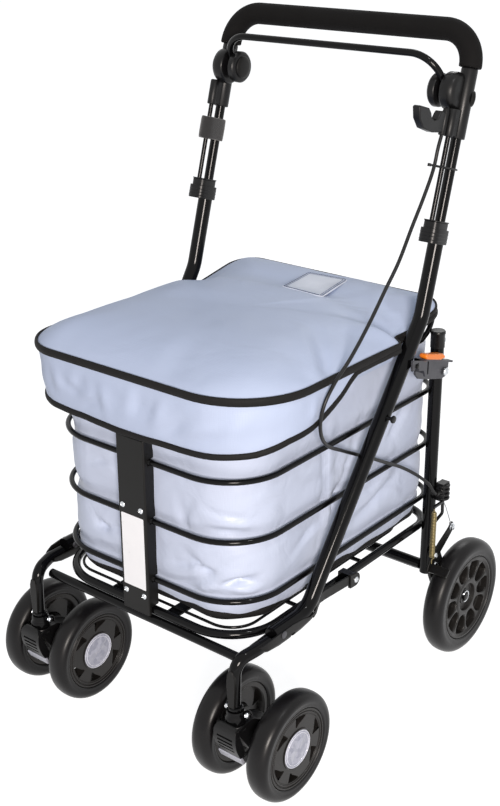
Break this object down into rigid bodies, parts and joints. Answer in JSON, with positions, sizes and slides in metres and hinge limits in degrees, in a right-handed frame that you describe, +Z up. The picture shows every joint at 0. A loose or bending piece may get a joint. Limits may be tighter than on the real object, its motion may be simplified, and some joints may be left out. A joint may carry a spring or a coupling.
{
  "type": "shopping rollator",
  "caption": "Walking frame on wheels with a wire basket, a padded seat lid, a height-adjustable folding handle and a bar that works both rear brakes.",
  "frame": {"origin": "on the floor, below the middle of the whole part's box", "axes": "+X to the side of the part that carries the bag hook, -Y to the front (the label plate and the casters), +Z up"},
  "size_m": [0.483, 0.602, 0.9362],
  "materials": {
    "gloss_black": "gloss black powder coat on steel tube and wire",
    "satin_black": "satin black paint on pressed steel",
    "black_plastic": "black moulded plastic with a faint sheen",
    "tyre_rubber": "dark grey soft tyre",
    "grip_foam": "black closed-cell foam",
    "bag_fabric": "pale blue coated cloth",
    "lid_fabric": "pale blue coated cloth over foam, with black piping",
    "bright_steel": "zinc-plated bolt",
    "grey_steel": "dark plated steel hook",
    "spring_brass": "yellow-passivated spring wire",
    "orange_plastic": "orange moulded lever",
    "cable_jacket": "black cable jacket"
  },
  "bodies": {
    "frame": {"base_frame": "gloss_black", "lower_ring": "gloss_black", "middle_ring": "gloss_black", "upper_ring": "gloss_black", "top_ring": "gloss_black", "front_plate": "satin_black", "bag": "bag_fabric", "front_cross_tube": "gloss_black", "rear_cross_tube": "gloss_black", "rear_post_right": "gloss_black", "rear_post_left": "gloss_black", "axle_bracket_right": "satin_black", "axle_bracket_left": "satin_black", "side_channel_right": "satin_black", "side_channel_left": "satin_black", "pivot_bolt_right": "bright_steel", "pivot_bolt_left": "bright_steel", "front_leg_right": "gloss_black", "front_leg_left": "gloss_black", "cable_anchor_right": "black_plastic", "cable_anchor_left": "black_plastic", "brake_spring_right": "spring_brass", "brake_spring_left": "spring_brass", "brake_cable": "cable_jacket", "cross_cable": "cable_jacket"},
    "lid": {"lid": "lid_fabric"},
    "handle_lower": {"handle_tube_right": "gloss_black", "handle_tube_left": "gloss_black", "collar_right": "black_plastic", "collar_left": "black_plastic"},
    "handle_upper": {"upper_tube": "gloss_black", "grip": "grip_foam", "thin_rod_right": "gloss_black", "thin_rod_left": "gloss_black", "handle_housing_right": "black_plastic", "handle_housing_left": "black_plastic", "bag_hook": "black_plastic"},
    "brake_bar": {"brake_bar": "gloss_black"},
    "brake_arm_right": {"brake_arm_right": "satin_black"},
    "brake_arm_left": {"brake_arm_left": "satin_black"},
    "latch_right": {"latch_hook_right": "grey_steel", "latch_lever_right": "orange_plastic"},
    "latch_left": {"latch_hook_left": "grey_steel", "latch_lever_left": "orange_plastic"},
    "rear_wheel_right": {"rear_tyre_right": "tyre_rubber", "rear_hub_right": "black_plastic"},
    "rear_wheel_left": {"rear_tyre_left": "tyre_rubber", "rear_hub_left": "black_plastic"},
    "caster_right": {"caster_fork_right": "black_plastic"},
    "caster_left": {"caster_fork_left": "black_plastic"},
    "pedal_right": {"caster_pedal_right": "black_plastic"},
    "pedal_left": {"caster_pedal_left": "black_plastic"},
    "wheel_right_outer": {"front_tyre_right_outer": "tyre_rubber", "front_hub_right_outer": "black_plastic"},
    "wheel_right_inner": {"front_tyre_right_inner": "tyre_rubber", "front_hub_right_inner": "black_plastic"},
    "wheel_left_outer": {"front_tyre_left_outer": "tyre_rubber", "front_hub_left_outer": "black_plastic"},
    "wheel_left_inner": {"front_tyre_left_inner": "tyre_rubber", "front_hub_left_inner": "black_plastic"}
  },
  "joints": [
    {"name": "handle_fold", "type": "hinge", "parent": "frame", "child": "handle_lower", "pos_m": [0, -0.205, 0.22], "axis": [-1, 0, 0], "range_deg": [-100, 0], "deforming": ["brake_cable"]},
    {"name": "height_adjust", "type": "slide", "parent": "handle_lower", "child": "handle_upper", "axis": [0, 0.2807, 0.9598], "range_m": [-0.05, 0.02]},
    {"name": "brake_bar", "type": "hinge", "parent": "handle_upper", "child": "brake_bar", "pos_m": [0, 0.16206, 0.84941], "axis": [-1, 0, 0], "range_deg": [0, 25], "stiffness_Nm_per_rad": 0.8, "springref_deg": -11.46},
    {"name": "brake_arm_right", "type": "hinge", "parent": "frame", "child": "brake_arm_right", "pos_m": [0.2, 0.1584, 0.1745], "axis": [1, 0, 0], "range_deg": [0, 6], "deforming": ["brake_spring_right"]},
    {"name": "brake_arm_left", "type": "hinge", "parent": "frame", "child": "brake_arm_left", "pos_m": [-0.2, 0.1584, 0.1745], "axis": [1, 0, 0], "range_deg": [0, 6], "deforming": ["brake_spring_left"]},
    {"name": "latch_right", "type": "hinge", "parent": "frame", "child": "latch_right", "pos_m": [0.198, 0.1636, 0.465], "axis": [-1, 0, 0], "range_deg": [0, 35]},
    {"name": "latch_left", "type": "hinge", "parent": "frame", "child": "latch_left", "pos_m": [-0.198, 0.1636, 0.465], "axis": [-1, 0, 0], "range_deg": [0, 35]},
    {"name": "lid_open", "type": "hinge", "parent": "frame", "child": "lid", "pos_m": [0, 0.19, 0.545], "axis": [-1, 0, 0], "range_deg": [0, 70]},
    {"name": "caster_swivel_right", "type": "hinge", "parent": "frame", "child": "caster_right", "pos_m": [0.18, -0.278, 0.12], "axis": [0, 0, 1], "continuous": true},
    {"name": "caster_swivel_left", "type": "hinge", "parent": "frame", "child": "caster_left", "pos_m": [-0.18, -0.278, 0.12], "axis": [0, 0, 1], "continuous": true},
    {"name": "pedal_right", "type": "hinge", "parent": "caster_right", "child": "pedal_right", "pos_m": [0.18, -0.2945, 0.1157], "axis": [-1, 0, 0], "range_deg": [0, 12]},
    {"name": "pedal_left", "type": "hinge", "parent": "caster_left", "child": "pedal_left", "pos_m": [-0.18, -0.2945, 0.1157], "axis": [-1, 0, 0], "range_deg": [0, 12]},
    {"name": "wheel_right_outer", "type": "hinge", "parent": "caster_right", "child": "wheel_right_outer", "pos_m": [0.2255, -0.226, 0.075], "axis": [1, 0, 0], "continuous": true},
    {"name": "wheel_right_inner", "type": "hinge", "parent": "caster_right", "child": "wheel_right_inner", "pos_m": [0.1345, -0.226, 0.075], "axis": [1, 0, 0], "continuous": true},
    {"name": "wheel_left_outer", "type": "hinge", "parent": "caster_left", "child": "wheel_left_outer", "pos_m": [-0.2255, -0.226, 0.075], "axis": [1, 0, 0], "continuous": true},
    {"name": "wheel_left_inner", "type": "hinge", "parent": "caster_left", "child": "wheel_left_inner", "pos_m": [-0.1345, -0.226, 0.075], "axis": [1, 0, 0], "continuous": true},
    {"name": "rear_wheel_right", "type": "hinge", "parent": "frame", "child": "rear_wheel_right", "pos_m": [0.22, 0.211, 0.09], "axis": [1, 0, 0], "continuous": true},
    {"name": "rear_wheel_left", "type": "hinge", "parent": "frame", "child": "rear_wheel_left", "pos_m": [-0.22, 0.211, 0.09], "axis": [1, 0, 0], "continuous": true}
  ],
  "couplings": [
    {"joint": "brake_arm_right", "follows": "brake_bar", "ratio": 0.238},
    {"joint": "brake_arm_left", "follows": "brake_bar", "ratio": 0.238}
  ]
}
